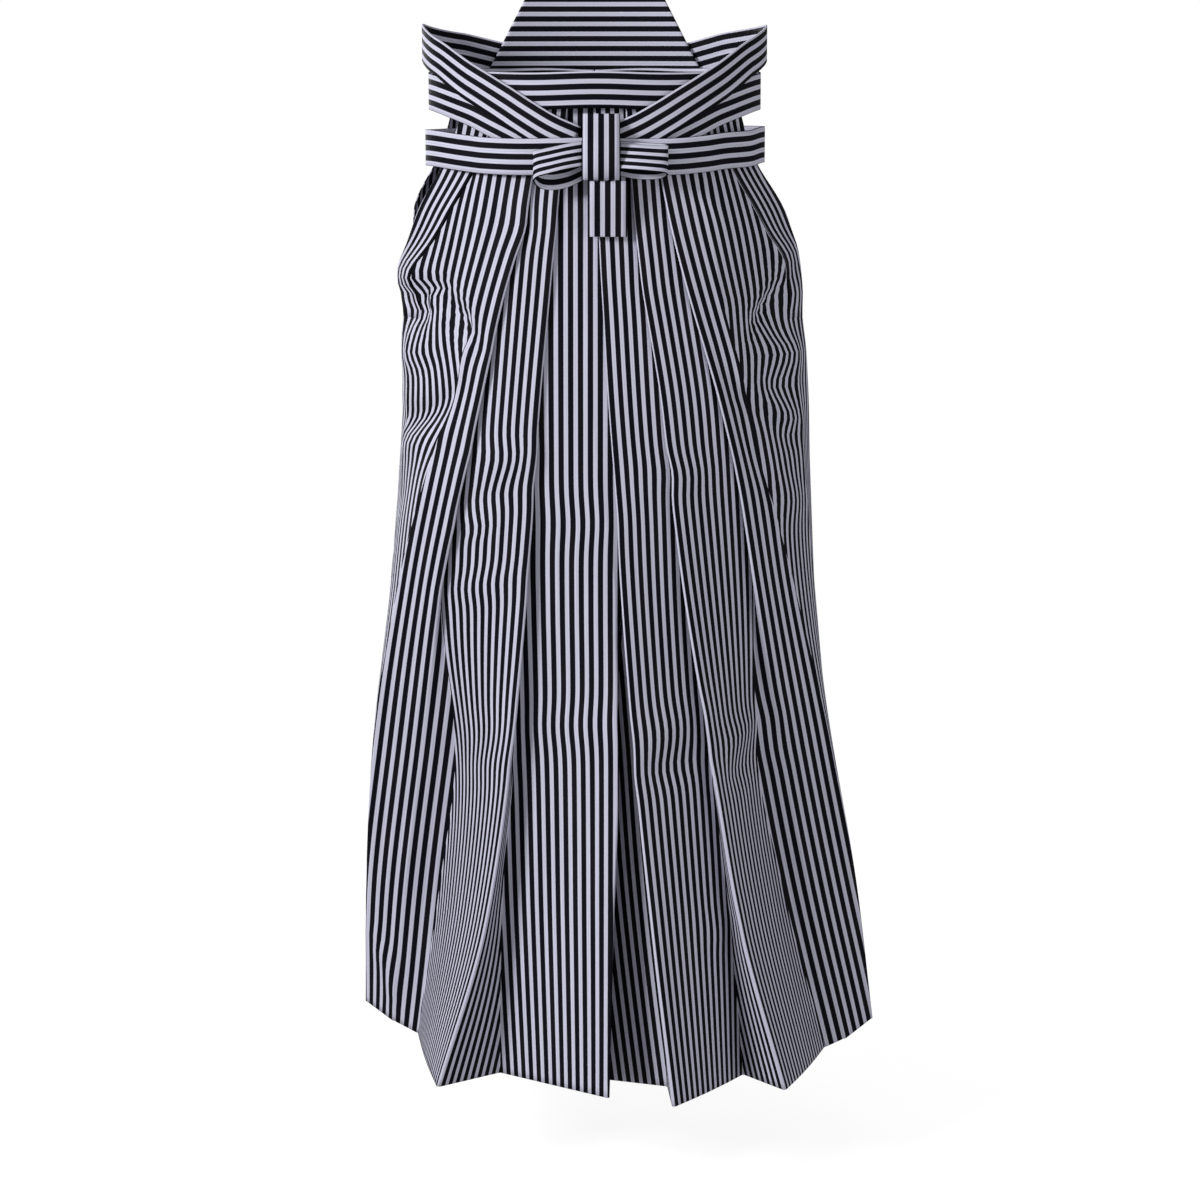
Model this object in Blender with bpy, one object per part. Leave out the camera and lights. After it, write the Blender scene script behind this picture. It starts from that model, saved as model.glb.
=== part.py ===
"""Divided hakama trousers, in the form they take when worn.

Every cloth wall is a grid bent into its place and given its thickness.
The part's frame has its origin at the middle of the waist, where the ties
hold the garment; the front looks towards -Y and +Z is up.
"""

import math

import bmesh
import bpy

for old in list(bpy.data.objects):
    bpy.data.objects.remove(old, do_unlink=True)

# Driving dimensions, in millimetres
MM = 0.001
CLOTH = 1.2            # thickness of a cloth wall
TIE_CLOTH = 1.6        # the ties are folded cloth, so a little thicker
BOARD = 5.0            # thickness of the stiff back board
SEAM_GAP = 0.3         # between two pieces that are sewn together
SEAM_STUB = 4.0        # the last of each wall runs straight into its side seam
TIE_WIDTH = 33.0
TIE_STEP = 2.2         # from one layer of ties to the next
FOLD_RADIUS = 1.2      # of a pressed fold, at the middle of the cloth
OPEN_RADIUS = 7.0      # of a fold that has fallen open
FLATTEST_FOLD = math.radians(12)
PANEL_TOP = 62.0
CROTCH = -400.0
HEM = -864.0
SLIT_END = -135.0
BACK_WIDER_RIGHT = 1.06  # the right back is fuller over the hip than the left
GUSSET_SPREAD = 5.0    # how far a gusset leans out at its middle, at the hem
STRIP_OFF = 1.7        # from the panel to the doubled edge beside the slit
STRIP_SKIP = 2
STRIP_BELOW_SLIT = 20.0
INSIDE = -18.0         # how a tie stands off the waist where it passes inside the back
TIE_HALF_WIDTH = 156.5  # of the waist that the ties go round
TIE_FRONT = 129.0
TIE_BACK = 108.0
BOARD_HEIGHT = 86.0
BOARD_HALF_BOTTOM = 108.0
BOARD_HALF_TOP = 64.0
BOARD_DEPTH = 103.0    # from the middle of the waist to the board
BOARD_CURVE = 0.0018
BOARD_LEAN = 3.0
KNOT_MIDDLE = 6.0
KNOT_HALF = 17.0
LOOP_SHORTER_RIGHT = 0.98
END_MIDDLE = 12.0
END_HALF = 17.5

# How finely each piece is divided
WALL_ROWS = 23
GUSSET_COLUMNS = 9
ROUND_POINTS = 61      # along a tie that goes all the way round
SECOND_POINTS = 31
BACK_TIE_POINTS = 29
BOARD_ROWS = 5
BOARD_COLUMNS = 11
END_COLUMNS = 5
BOW_BETWEEN = 3        # points from one place of the bow's path to the next

# Heights at which the folds are placed, from the top of the panels to the hem
LEVELS = (PANEL_TOP, 0.0, -60.0, SLIT_END, -220.0, -300.0, CROTCH, -560.0, -710.0, HEM)
UPPER = 5              # of these levels follow the general figure

# The general figure that the waist and hips follow: a rounded oval whose
# middle, half width and half depths change with the height
FIGURE = {
    "middle": (0.0, 0.0, 5.0, 6.0, 10.0),
    "half_width": (150.0, 154.0, 180.0, 191.0, 193.0),
    "front": (118.0, 120.0, 124.0, 130.0, 136.0),
    "back": (100.0, 100.0, 112.0, 124.0, 130.0),
}
SQUARENESS = 2.3

RIDGE, INNER, PLAIN = 1, -1, 0


def fold(kind, out, off, depth, panel=2, crown=0.0, lift=0.0):
    """One fold or seam of a wall, a row of its table.

    out    distance from the middle plane at each level
    off    how far it stands off the figure at the upper levels
    depth  distance towards the wall's own side at the lower levels
    panel  points in the panel that follows, with its crown in mm
    lift   how far the hem is raised there
    """
    return {"kind": kind, "out": out, "off": off, "depth": depth,
            "panel": panel, "crown": crown, "lift": lift}


# Each front is read from the middle seam outwards. A pleat is an inner fold
# and the ridge that lies over it.
FRONT_LEFT = {
    "seam": fold(PLAIN, (-13, -13, -14, -17, -22, -27, -26.7, 12, 20, 27), 0,
                 (140, 143, 138, 152, 172), panel=1),
    "inner_edge": fold(RIDGE, (12, 12, 11, 8, 3, -5, -19, -22, -17, -13), 0,
                       (141, 146, 162, 182, 206), panel=3),
    "pleat_1_inner": fold(INNER, (38, 43, 49, 57, 66, 72, 72, 76, 88, 90), 1.2,
                          (130, 128, 127, 129, 133), panel=1),
    "pleat_1": fold(RIDGE, (23, 29, 35, 42, 50, 56, 63, 79, 102, 147), 3.6,
                    (139.5, 142, 149, 160, 174), panel=3, crown=1.8),
    "pleat_2_inner": fold(INNER, (58, 67, 80, 104, 124, 143, 145, 133, 151, 175), 1.2,
                          (107, 98, 66, 32, 9), panel=1),
    "pleat_2": fold(RIDGE, (43, 53, 64, 85, 104, 122, 143, 165, 185, 200), 7.0,
                    (124, 108, 62, 27, -6), panel=2, lift=8),
    "side_ridge": fold(RIDGE, (74, 84, 100, 114, 130, 158, 184, 212, 223, 229), 5.0,
                       (106, 84, 45, 10, -36), panel=2, crown=2.0, lift=19),
    "strip": fold(RIDGE, (88, 103, 136, 174, 176, 182, 194, 208, 216, 218), 0,
                  (48, 32, 8, -22, -62), panel=2, lift=10),
    "side": fold(PLAIN, (112, 133, 165, 184, 181, 187, 195, 206, 211, 212), 0,
                 (0, -5, -30, -62, -90), lift=4),
}
FRONT_RIGHT = {
    "seam": fold(PLAIN, (13, 13, 14, 17, 22, 27, 27, 14, 6, 0), 0,
                 (140, 143, 132, 140, 149), panel=1),
    "pleat_3_inner": fold(INNER, (17, 19, 22, 27, 34, 41, 50, 58, 63, 68), 1.2,
                          (138, 145, 154, 163, 174), panel=1),
    "pleat_3": fold(RIDGE, (0, 2, 4, 8, 13, 19, 25, 38, 54, 73), 3.6,
                    (147, 160, 180, 204, 231), panel=3, crown=1.8),
    "pleat_4_inner": fold(INNER, (43, 47, 52, 63, 79, 89, 101, 110, 127, 141), 1.2,
                          (130, 127, 138, 142, 139), panel=1),
    "pleat_4": fold(RIDGE, (27, 32, 37, 47, 61, 70, 83, 110, 136, 178), 6.4,
                    (143, 147.5, 156, 166, 183), panel=3, crown=1.8),
    "pleat_5_inner": fold(INNER, (62, 72, 85, 107, 134, 152, 149, 154, 183, 224), 1.2,
                          (100, 95, 75, 58, 54), panel=1),
    "pleat_5": fold(RIDGE, (46, 57, 69, 89, 114, 133, 150, 178, 208, 244), 7.0,
                    (117, 106, 70, 54, 46), panel=2, lift=6),
    "side_ridge": fold(RIDGE, (78, 88, 104, 118, 142, 160, 187, 225, 253, 272), 5.0,
                       (101, 80, 50, 35, 25), panel=2, crown=2.0, lift=20),
    "strip": fold(RIDGE, (104, 120, 152, 186, 192, 198, 209, 226, 246, 260), 0,
                  (44, 28, 8, -14, -38), panel=2, lift=12),
    "side": fold(PLAIN, (126, 144, 178, 196, 202, 206, 211, 220, 232, 240), 0,
                 (0, -6, -30, -60, -84), lift=6),
}
# Each back has one pleat, whose ridge looks to the middle. Its side seam is
# the front's below the slit.
BACK = {
    "seam": fold(PLAIN, (0, 0, 0, 0, 0, 0, 0, 14, 16, 20), 0,
                 (132, 128, 102, 100, 104), panel=1),
    "inner_edge": fold(RIDGE, (12, 13, 13, 14, 14, 14, 14, 9, 11, 13), 0,
                       (132, 129, 136, 148, 165), panel=2),
    "pleat_inner": fold(INNER, (42, 46, 50, 56, 62, 66, 68, 74, 84, 96), 1.2,
                        (129, 126, 124, 128, 134), panel=1),
    "pleat": fold(RIDGE, (24, 26, 30, 34, 38, 42, 46, 52, 60, 72), 3.8,
                  (134, 134, 141, 158, 180), panel=2, crown=3.0),
    "hip": fold(RIDGE, (88, 96, 112, 128, 132, 136, 142, 150, 162, 174), 0.0,
                (118, 114, 112, 120, 134), panel=3, crown=5.0),
}
# Where the edge of the back stands forward of the figure's side, beside the slit
BACK_EDGE = {"out": (130.0, 146.0, 172.0), "behind": (48.0, 36.0, 12.0)}


def curve(places, values, at):
    """Reads values given at places, along a curve that never overshoots them."""
    pairs = sorted(zip(places, values))
    spans = [b[0] - a[0] for a, b in zip(pairs, pairs[1:])]
    slopes = [(b[1] - a[1]) / span for a, b, span in zip(pairs, pairs[1:], spans)]
    tangents = [slopes[0]]
    for before, after in zip(slopes, slopes[1:]):
        same_way = before * after > 0
        tangents.append(2 * before * after / (before + after) if same_way else 0.0)
    tangents.append(slopes[-1])
    at = min(max(at, pairs[0][0]), pairs[-1][0])
    i = max(k for k in range(len(spans)) if k == 0 or at >= pairs[k][0])
    t = (at - pairs[i][0]) / spans[i]
    return ((1 + 2 * t) * (1 - t) ** 2 * pairs[i][1]
            + t * (1 - t) ** 2 * spans[i] * tangents[i]
            + t * t * (3 - 2 * t) * pairs[i + 1][1]
            + t * t * (t - 1) * spans[i] * tangents[i + 1])


def figure_depth(x, level, face):
    """Depth of the general figure at one level, on the front or the back."""
    across = abs(x - FIGURE["middle"][level]) / FIGURE["half_width"][level]
    return FIGURE[face][level] * max(0.0, 1 - across ** SQUARENESS) ** (1 / SQUARENESS)


def depths(row, side, face):
    """A fold's depth at every level: off the figure above, its own below."""
    upper = [figure_depth(side * row["out"][level], level, face) + row["off"]
             for level in range(UPPER)]
    return upper + list(row["depth"])


def apex(row, side, face, height):
    """Where a fold is at a height: its distance from the middle and its depth."""
    if "partner" not in row:
        return (curve(LEVELS, row["out"], height),
                curve(LEVELS, depths(row, side, face), height))
    out, depth = apex(row["partner"], side, "front", max(height, SLIT_END))
    if height >= SLIT_END:
        edge_levels = LEVELS[:UPPER - 1]
        return (curve(edge_levels, BACK_EDGE["out"] + (out,), height),
                curve(edge_levels, BACK_EDGE["behind"] + (SEAM_GAP - depth,), height))
    out, depth = apex(row["partner"], side, "front", height)
    return out, SEAM_GAP - depth


def unit(x, y):
    length = math.hypot(x, y) or 1.0
    return x / length, y / length


def fold_points(before, apex, after, kind):
    """Three points round a fold: a tight bend when pressed, a soft one when open."""
    to_before = unit(before[0] - apex[0], before[1] - apex[1])
    to_after = unit(after[0] - apex[0], after[1] - apex[1])
    turn = (to_after[0] - to_before[0], to_after[1] - to_before[1])
    inward = unit(to_before[0] + to_after[0] + kind * turn[1],
                  to_before[1] + to_after[1] - kind * turn[0])
    cosine = to_before[0] * to_after[0] + to_before[1] * to_after[1]
    between = math.acos(max(-1.0, min(1.0, cosine)))
    half_turn = max(FLATTEST_FOLD, (math.pi - between) / 2)
    radius = FOLD_RADIUS + (OPEN_RADIUS - FOLD_RADIUS) * (between / math.pi) ** 2
    across = (-kind * inward[1], kind * inward[0])
    points = []
    for angle in (-half_turn, 0.0, half_turn):
        back = radius * (1 - math.cos(angle))
        aside = radius * math.sin(angle)
        points.append((apex[0] + back * inward[0] + aside * across[0],
                       apex[1] + back * inward[1] + aside * across[1]))
    return points


def section(table, side, face, height):
    """One level section of a wall: points (out, depth, lift) from the middle."""
    names = list(table)
    apexes = [apex(table[n], side, face, height) for n in names]
    near_hem = max(0.0, (CROTCH - height) / (CROTCH - HEM)) ** 2
    points = []
    for i, name in enumerate(names):
        row = table[name]
        lift = row["lift"] * near_hem
        if i == 0:
            stretch = [apexes[i]]
        elif i == len(names) - 1:
            out, depth = apexes[i]
            stretch = [(out, depth + SEAM_STUB), (out, depth)]
        else:
            stretch = fold_points(apexes[i - 1], apexes[i], apexes[i + 1], row["kind"])
        points += [(x, y, lift, name, k) for k, (x, y) in enumerate(stretch)]
    return points


def with_panels(table, marks):
    """Adds the points of each panel between the points of its two folds."""
    filled = []
    for here, there in zip(marks, marks[1:]):
        filled.append(here[:4])
        if here[3] == there[3]:
            continue
        row = table[here[3]]
        along = unit(there[0] - here[0], there[1] - here[1])
        for step in range(1, row["panel"] + 1):
            t = step / (row["panel"] + 1)
            crown = row["crown"] * math.sin(math.pi * t)
            filled.append((here[0] + t * (there[0] - here[0]) - crown * along[1],
                           here[1] + t * (there[1] - here[1]) + crown * along[0],
                           here[2] + t * (there[2] - here[2]), here[3]))
    filled.append(marks[-1][:4])
    return filled


def cloth_colour(name, colour=(0.26, 0.25, 0.31), roughness=0.82):
    """The piece's own material, in the mean colour of its stripes."""
    material = bpy.data.materials.new(name)
    material.use_nodes = True
    shader = material.node_tree.nodes["Principled BSDF"]
    shader.inputs["Base Color"].default_value = (*colour, 1.0)
    shader.inputs["Roughness"].default_value = roughness
    shader.inputs["Metallic"].default_value = 0.0
    return material


def sheet(name, rows, thickness=CLOTH):
    """A cloth wall through rows of points in mm, made from a grid."""
    across, down = len(rows[0]) - 1, len(rows) - 1
    bm = bmesh.new()
    bmesh.ops.create_grid(bm, x_segments=across, y_segments=down, size=0.5)
    for vertex in bm.verts:
        column = round((vertex.co.x + 0.5) * across)
        row = round((vertex.co.y + 0.5) * down)
        vertex.co = [c * MM for c in rows[row][column]]
    mesh = bpy.data.meshes.new(name)
    bm.to_mesh(mesh)
    bm.free()
    mesh.materials.append(cloth_colour(name))
    mesh.shade_smooth()
    obj = bpy.data.objects.new(name, mesh)
    bpy.context.scene.collection.objects.link(obj)
    wall = obj.modifiers.new("Thickness", "SOLIDIFY")
    wall.thickness = thickness * MM
    wall.offset = 0.0
    wall.use_even_offset = True
    return obj


def steps(first, last, count):
    return [first + (last - first) * i / (count - 1) for i in range(count)]


HEIGHTS = steps(PANEL_TOP, HEM, WALL_ROWS)


def level_points(table, side, face, height):
    return with_panels(table, section(table, side, face, height))


def wall_rows(table, side, face):
    """The rows of a front or back wall, in the part's own x, y and z."""
    forward = -1 if face == "front" else 1
    return [[(side * out, forward * depth, height + lift)
             for out, depth, lift, _ in level_points(table, side, face, height)]
            for height in HEIGHTS]


def parted(table):
    """The same folds with the middle seam half a gap from its neighbour."""
    seam = table["seam"]
    return dict(table, seam=dict(seam, out=tuple(o + SEAM_GAP / 2 for o in seam["out"])))


def back_table(front, side, wider):
    """The back's folds, ended by a side seam that meets the front's."""
    table = {name: dict(row) for name, row in parted(BACK).items()}
    table["hip"]["out"] = tuple(o * wider for o in BACK["hip"]["out"])
    table["side"] = dict(front["side"], partner=front["side"])
    return table


def crotch_wall(name, front, back, side):
    """The gusset: a wall from the front to the back between the legs."""
    rows = []
    for height in [h for h in HEIGHTS if h <= CROTCH]:
        front_out = curve(LEVELS, front["seam"]["out"], height) + GUSSET_OFF
        back_out = curve(LEVELS, back["seam"]["out"], height) + GUSSET_OFF
        front_y = -curve(LEVELS, depths(front["seam"], side, "front"), height) + CLOTH
        back_y = curve(LEVELS, depths(back["seam"], side, "back"), height) - CLOTH
        apart = GUSSET_SPREAD * (CROTCH - height) / (CROTCH - HEM)
        row = []
        for t in steps(0.0, 1.0, GUSSET_COLUMNS):
            out = front_out + t * (back_out - front_out) + apart * math.sin(math.pi * t)
            row.append((side * out, front_y + t * (back_y - front_y), height))
        rows.append(row)
    return sheet(name, rows)


def strip_rows(table, side):
    """The doubled edge beside the slit: the panel's own points, moved out."""
    rows = []
    for height in [h for h in HEIGHTS if h > SLIT_END - STRIP_BELOW_SLIT]:
        marks = section(table, side, "front", height)
        points = with_panels(table, marks)
        edge = [p for p in points if p[3] in ("strip", "side")][STRIP_SKIP:]
        row = []
        for i, point in enumerate(edge):
            before, after = edge[max(i - 1, 0)], edge[min(i + 1, len(edge) - 1)]
            along = unit(after[0] - before[0], after[1] - before[1])
            out = point[0] - STRIP_OFF * along[1]
            depth = point[1] + STRIP_OFF * along[0]
            row.append((side * out, -depth, height + point[2]))
        rows.append(row)
    return rows


# The legs' walls
GUSSET_OFF = CLOTH / 2 + SEAM_GAP / 2
SIDES = {"left": (-1, parted(FRONT_LEFT), 1.0),
         "right": (1, parted(FRONT_RIGHT), BACK_WIDER_RIGHT)}

for word, (side, front, wider) in SIDES.items():
    back = back_table(front, side, wider)
    sheet(f"front_{word}", wall_rows(front, side, "front"))
    sheet(f"back_{word}", wall_rows(back, side, "back"))
    crotch_wall(f"gusset_{word}", front, back, side)
    sheet(f"side_strip_{word}", strip_rows(front, side))


def on_waist(angle, off):
    """A point round the waist, at an angle from the middle of the front."""
    s, c = math.sin(math.radians(angle)), math.cos(math.radians(angle))
    depth = TIE_FRONT if c > 0 else TIE_BACK
    size = (abs(s) / TIE_HALF_WIDTH) ** SQUARENESS + (abs(c) / depth) ** SQUARENESS
    reach = size ** (-1 / SQUARENESS) + off
    return reach * s, -reach * c


def tie(name, route, count):
    """A flat tie along a route of (angle, height, off) rows."""
    angles, heights, offs = zip(*route)
    middle = []
    for angle in steps(angles[0], angles[-1], count):
        x, y = on_waist(angle, curve(angles, offs, angle))
        middle.append((x, y, curve(angles, heights, angle)))
    rows = [[], [], []]
    for i, (x, y, z) in enumerate(middle):
        a, b = middle[max(i - 1, 0)], middle[min(i + 1, count - 1)]
        level = math.hypot(b[0] - a[0], b[1] - a[1])
        length = math.hypot(level, b[2] - a[2])
        rise, run = (b[2] - a[2]) / length, level / length
        for row, reach in zip(rows, (0.5, 0.0, -0.5)):
            w = reach * TIE_WIDTH
            row.append((x - w * rise * (b[0] - a[0]) / level,
                        y - w * rise * (b[1] - a[1]) / level, z + w * run))
    return sheet(name, rows, TIE_CLOTH)


# Routes of the ties: angle from the middle of the front in degrees, height
# of the tie's middle, and how far it stands off the waist
FRONT_BAND = ((-176, 58, INSIDE), (-104, 58, INSIDE), (-70, 58, 0), (0, 59, 0),
              (70, 58, 0), (104, 58, INSIDE), (176, 58, INSIDE))
SECOND_ROUND = ((172, 58, INSIDE + TIE_STEP), (104, 60, INSIDE + TIE_STEP),
                (72, 56, TIE_STEP), (50, 44, TIE_STEP), (38, 32, 2.4),
                (30, 23, 2.4), (20, 11, 1.8), (8, 2, 1.6))
BELT = ((-176, 2, INSIDE), (-104, 3, INSIDE), (-72, 5, 6.0), (-50, 1, 3.8),
        (-42, 0, 4.6), (-30, 0, 6.8), (0, 0, 6.8), (30, 0, 6.8), (42, 1, 4.6),
        (50, 3, 4.4), (62, 5, 7.0), (72, 8, 7.0), (104, 5, INSIDE), (176, 2, INSIDE))
BACK_TIE = ((140, 81, -1.2), (134, 84, 0.0), (128, 88, 2.2), (120, 93, 4.2),
            (90, 101, 4.4), (65, 88, 4.4), (48, 66, 4.4), (35, 47, 4.6), (28, 36, 4.6),
            (18, 22, 4.2), (8, 12, 3.8))


def mirrored(route):
    return tuple((-angle, height, off) for angle, height, off in route)


tie("front_band", FRONT_BAND, ROUND_POINTS)
tie("front_tie_belt", BELT, ROUND_POINTS)
tie("front_tie_left", mirrored(SECOND_ROUND), SECOND_POINTS)
tie("front_tie_right", SECOND_ROUND, SECOND_POINTS)
tie("back_tie_left", mirrored(BACK_TIE), BACK_TIE_POINTS)
tie("back_tie_right", BACK_TIE, BACK_TIE_POINTS)


def board():
    """The stiff board that stands on the back."""
    rows = []
    for up in steps(0.0, 1.0, BOARD_ROWS):
        half = BOARD_HALF_BOTTOM + up * (BOARD_HALF_TOP - BOARD_HALF_BOTTOM)
        rows.append([(x, BOARD_DEPTH - BOARD_CURVE * x * x + BOARD_LEAN * up * up,
                      PANEL_TOP + SEAM_GAP + up * BOARD_HEIGHT)
                     for x in steps(-half, half, BOARD_COLUMNS)])
    return sheet("back_board", rows, BOARD)


board()

# The bow, in front of the belt: paths are (along, forward) from the belt's face
BELT_FACE = -(TIE_FRONT + BELT[6][2] + TIE_CLOTH / 2)
LOOP_START = KNOT_HALF + 0.5
LOOP = ((LOOP_START, 1.2, -9), (34, 1.4, -9), (50, 2.4, -8), (58, 5.0, -6), (61, 9.2, -4),
        (57, 13.2, -2), (45, 14.8, -1), (32, 13.8, 0), (LOOP_START, 10.0, 0))
KNOT = ((38, -3.5), (30, 2.0), (22, 9.0), (13, 15.0), (0, 17.2), (-10, 16.2),
        (-17.5, 12.0), (-20, 6.5), (-18, 2.4), (-13, 1.2))
END = ((-21.6, 7.0), (-30, 7.6), (-45, 5.5), (-60, 2.0), (-76, -0.6))


def smooth_path(points, between):
    """More points on a curve through the path's own (Catmull-Rom)."""
    path = []
    last = len(points) - 1
    for i in range(last):
        p0, p1 = points[max(i - 1, 0)], points[i]
        p2, p3 = points[i + 1], points[min(i + 2, last)]
        for step in range(between):
            t = step / between
            path.append(tuple(
                0.5 * (2 * b + (c - a) * t + (2 * a - 5 * b + 4 * c - d) * t * t
                       + (3 * b - a - 3 * c + d) * t ** 3)
                for a, b, c, d in zip(p0, p1, p2, p3)))
    path.append(points[-1])
    return path


def bow_loop(name, side, length):
    """A loop of the bow: the tie goes out, turns and comes back in front."""
    path = smooth_path(LOOP, BOW_BETWEEN)
    rows = []
    for up in (0.5, 0.0, -0.5):
        rows.append([(KNOT_MIDDLE + side * (LOOP_START + (out - LOOP_START) * length),
                      BELT_FACE - forward, up * TIE_WIDTH + drop)
                     for out, forward, drop in path])
    return sheet(name, rows, TIE_CLOTH)


def hanging(name, path, middle, half):
    """A stretch of tie that runs up and down, across the front of the belt."""
    rows = [[(middle + x, BELT_FACE - forward, height)
             for x in steps(-half, half, END_COLUMNS)]
            for height, forward in smooth_path(path, BOW_BETWEEN)]
    return sheet(name, rows, TIE_CLOTH)


bow_loop("bow_loop_left", -1, 1.0)
bow_loop("bow_loop_right", 1, LOOP_SHORTER_RIGHT)
hanging("bow_knot", KNOT, KNOT_MIDDLE, KNOT_HALF)
hanging("bow_end", END, END_MIDDLE, END_HALF)
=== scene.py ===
# %% [markdown]
# # Striped hakama, in the form they take when worn
#
# Hakama are divided trousers: two fronts, two backs, a gusset between the
# legs, two pairs of ties and a stiff board at the back. The solids hold the
# true shape of each piece. This file gives them their looks: every cloth wall
# is made again as a finer sheet, with its soft creases, its stripes and its
# weave, and it takes the place of the plain solid.

import math

import bmesh
import bpy
import numpy as np
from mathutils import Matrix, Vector


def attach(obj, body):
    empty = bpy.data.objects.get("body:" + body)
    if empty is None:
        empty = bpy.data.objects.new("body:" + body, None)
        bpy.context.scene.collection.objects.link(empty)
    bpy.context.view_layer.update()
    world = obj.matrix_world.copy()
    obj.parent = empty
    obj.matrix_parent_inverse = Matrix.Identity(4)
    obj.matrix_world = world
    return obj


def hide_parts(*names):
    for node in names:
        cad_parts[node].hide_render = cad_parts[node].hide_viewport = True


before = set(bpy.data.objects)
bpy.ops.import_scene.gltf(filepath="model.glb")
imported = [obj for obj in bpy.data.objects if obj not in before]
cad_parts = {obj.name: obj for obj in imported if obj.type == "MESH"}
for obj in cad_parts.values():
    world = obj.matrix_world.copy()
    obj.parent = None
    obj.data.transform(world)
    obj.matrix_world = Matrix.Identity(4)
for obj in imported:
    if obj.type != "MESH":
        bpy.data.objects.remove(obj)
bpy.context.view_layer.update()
MM = 0.001
print("solids:", len(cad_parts))

# %% [markdown]
# ## The folds
#
# A pleated wall is easiest to describe by its folds. Each fold has a place at
# ten heights, read from the middle of the garment outwards, and the cloth runs
# straight or slightly crowned from one fold to the next. A table of folds is
# short, and a smooth curve between its values gives as fine a sheet as we like.
# Sculpting the pleats by hand would give the same look, but no true widths.

# %% Heights and the general figure, in millimetres
PANEL_TOP = 62.0
CROTCH = -400.0
HEM = -864.0
SLIT_END = -135.0
LEVELS = (PANEL_TOP, 0.0, -60.0, SLIT_END, -220.0, -300.0, CROTCH, -560.0, -710.0, HEM)
UPPER = 5
FIGURE = {
    "middle": (0.0, 0.0, 5.0, 6.0, 10.0),
    "half_width": (150.0, 154.0, 180.0, 191.0, 193.0),
    "front": (118.0, 120.0, 124.0, 130.0, 136.0),
    "back": (100.0, 100.0, 112.0, 124.0, 130.0),
}
SQUARENESS = 2.3
CLOTH = 1.2
SEAM_GAP = 0.1
SEAM_STUB = 4.0
RIDGE, INNER, PLAIN = 1, -1, 0


# %% One row of a fold table
def fold(kind, out, off, depth, crown=0.0, lift=0.0):
    """out: distance from the middle at each level; off: how far it stands off
    the figure at the upper levels; depth: its depth at the lower ones."""
    return {"kind": kind, "out": out, "off": off, "depth": depth, "crown": crown, "lift": lift}


# %% The two fronts, read from the middle seam outwards
FRONT_LEFT = {
    "seam": fold(PLAIN, (-13, -13, -14, -17, -22, -27, -26.7, 12, 20, 27), 0,
                 (140, 143, 138, 152, 172)),
    "inner_edge": fold(RIDGE, (12, 12, 11, 8, 3, -5, -19, -22, -17, -13), 0,
                       (141, 146, 162, 182, 206)),
    "pleat_1_inner": fold(INNER, (38, 43, 49, 57, 66, 72, 72, 76, 88, 90), 1.2,
                          (130, 128, 127, 129, 133)),
    "pleat_1": fold(RIDGE, (23, 29, 35, 42, 50, 56, 63, 79, 102, 147), 3.6,
                    (139.5, 142, 149, 160, 174), crown=1.8),
    "pleat_2_inner": fold(INNER, (58, 67, 80, 104, 124, 143, 145, 133, 151, 175), 1.2,
                          (107, 98, 66, 32, 9)),
    "pleat_2": fold(RIDGE, (43, 53, 64, 85, 104, 122, 143, 165, 185, 200), 7.0,
                    (124, 108, 62, 27, -6), lift=8),
    "side_ridge": fold(RIDGE, (74, 84, 100, 114, 130, 158, 184, 212, 223, 229), 5.0,
                       (106, 84, 45, 10, -36), crown=2.0, lift=19),
    "strip": fold(RIDGE, (88, 103, 136, 174, 176, 182, 194, 208, 216, 218), 0,
                  (48, 32, 8, -22, -62), lift=10),
    "side": fold(PLAIN, (112, 133, 165, 184, 181, 187, 195, 206, 211, 212), 0,
                 (0, -5, -30, -62, -90), lift=4),
}
FRONT_RIGHT = {
    "seam": fold(PLAIN, (13, 13, 14, 17, 22, 27, 27, 14, 6, 0), 0,
                 (140, 143, 132, 140, 149)),
    "pleat_3_inner": fold(INNER, (17, 19, 22, 27, 34, 41, 50, 58, 63, 68), 1.2,
                          (138, 145, 154, 163, 174)),
    "pleat_3": fold(RIDGE, (0, 2, 4, 8, 13, 19, 25, 38, 54, 73), 3.6,
                    (147, 160, 180, 204, 231), crown=1.8),
    "pleat_4_inner": fold(INNER, (43, 47, 52, 63, 79, 89, 101, 110, 127, 141), 1.2,
                          (130, 127, 138, 142, 139)),
    "pleat_4": fold(RIDGE, (27, 32, 37, 47, 61, 70, 83, 110, 136, 178), 6.4,
                    (143, 147.5, 156, 166, 183), crown=1.8),
    "pleat_5_inner": fold(INNER, (62, 72, 85, 107, 134, 152, 149, 154, 183, 224), 1.2,
                          (100, 95, 75, 58, 54)),
    "pleat_5": fold(RIDGE, (46, 57, 69, 89, 114, 133, 150, 178, 208, 244), 7.0,
                    (117, 106, 70, 54, 46), lift=6),
    "side_ridge": fold(RIDGE, (78, 88, 104, 118, 142, 160, 187, 225, 253, 272), 5.0,
                       (101, 80, 50, 35, 25), crown=2.0, lift=20),
    "strip": fold(RIDGE, (104, 120, 152, 186, 192, 198, 209, 226, 246, 260), 0,
                  (44, 28, 8, -14, -38), lift=12),
    "side": fold(PLAIN, (126, 144, 178, 196, 202, 206, 211, 220, 232, 240), 0,
                 (0, -6, -30, -60, -84), lift=6),
}

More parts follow.
